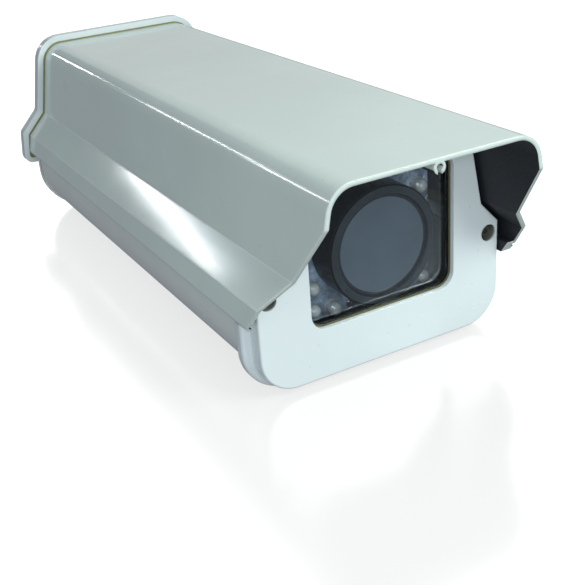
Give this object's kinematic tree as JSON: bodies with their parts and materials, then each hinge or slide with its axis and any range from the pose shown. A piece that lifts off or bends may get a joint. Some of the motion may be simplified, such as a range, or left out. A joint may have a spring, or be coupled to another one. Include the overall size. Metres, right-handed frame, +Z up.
{
  "type": "security camera housing",
  "caption": "Long side-opening outdoor housing for a fixed camera, with a flared sunshield cover, a square front window, cable glands and the camera on a sliding sled.",
  "frame": {"origin": "centre of the four tapped holes in the base, on the face that sits on the bracket", "axes": "+Z up, -Y the way the window looks, +X the side that opens (the viewer's right from the front)"},
  "size_m": [0.1556, 0.3706, 0.1154],
  "materials": {
    "cover_paint": "gloss paint",
    "cap_paint": "gloss paint",
    "tray_paint": "gloss paint",
    "rubber_grey": "satin",
    "window_rubber": "satin",
    "window_clear": "clear",
    "sheet_steel": "zinc plate",
    "screw_steel": "plain",
    "lock_metal": "nickel plate",
    "gland_plastic": "moulded",
    "gland_rubber": "moulded",
    "board_green": "solder resist",
    "board_black": "solder resist",
    "terminal_plastic": "moulded",
    "standoff_brass": "turned",
    "sled_metal": "mill finish",
    "camera_shell": "satin paint",
    "socket_metal": "nickel plate",
    "lens_black": "satin",
    "focus_rubber": "ribbed",
    "lens_clear": "coated",
    "lamp_clear": "clear resin"
  },
  "bodies": {
    "housing": {"base_tray": "tray_paint", "front_cap": "cap_paint", "front_cap_gasket": "rubber_grey", "front_cap_screws": "screw_steel", "window_gasket": "window_rubber", "window_glass": "window_clear", "window_retainer": "sheet_steel", "retainer_screws": "screw_steel", "rear_plate": "tray_paint", "rear_plate_gasket": "rubber_grey", "rear_plate_screws": "screw_steel", "gland_bodies": "gland_plastic", "gland_locknuts": "gland_plastic", "gland_seals": "gland_rubber", "gland_caps": "gland_plastic", "cover_seal": "rubber_grey", "terminal_board": "board_green", "terminal_block": "terminal_plastic", "terminal_standoffs": "standoff_brass", "terminal_screws": "screw_steel"},
    "cover": {"top_cover": "cover_paint", "cover_rear_gasket": "rubber_grey", "cover_rear_cap": "cap_paint", "cover_rear_screws": "screw_steel"},
    "lock_front": {"lock_screw_front": "lock_metal"},
    "lock_rear": {"lock_screw_rear": "lock_metal"},
    "sled": {"camera_sled": "sled_metal", "sled_lock_screws": "lock_metal", "camera_riser": "sled_metal", "riser_screws": "screw_steel", "camera_body": "camera_shell", "video_socket": "socket_metal", "camera_terminal": "terminal_plastic", "lens_barrel": "lens_black", "lens_hood": "lens_black", "lens_glass": "lens_clear", "lamp_board": "board_black", "lamps": "lamp_clear", "lamp_bracket": "sheet_steel", "lamp_board_screws": "screw_steel"},
    "focus": {"focus_ring": "focus_rubber"}
  },
  "joints": [
    {"name": "cover_hinge", "type": "hinge", "parent": "housing", "child": "cover", "pos_m": [-0.0712, 0, 0.0437], "axis": [0, -1, 0], "range_deg": [0, 100]},
    {"name": "lock_front_slide", "type": "slide", "parent": "housing", "child": "lock_front", "axis": [0, 0, -1], "range_m": [0, 0.0055]},
    {"name": "lock_rear_slide", "type": "slide", "parent": "housing", "child": "lock_rear", "axis": [0, 0, -1], "range_m": [0, 0.0055]},
    {"name": "sled_slide", "type": "slide", "parent": "housing", "child": "sled", "axis": [0, 1, 0], "range_m": [0, 0.04]},
    {"name": "focus_turn", "type": "hinge", "parent": "sled", "child": "focus", "pos_m": [0.005, -0.09, 0.0555], "axis": [0, -1, 0], "range_deg": [-60, 60]}
  ]
}
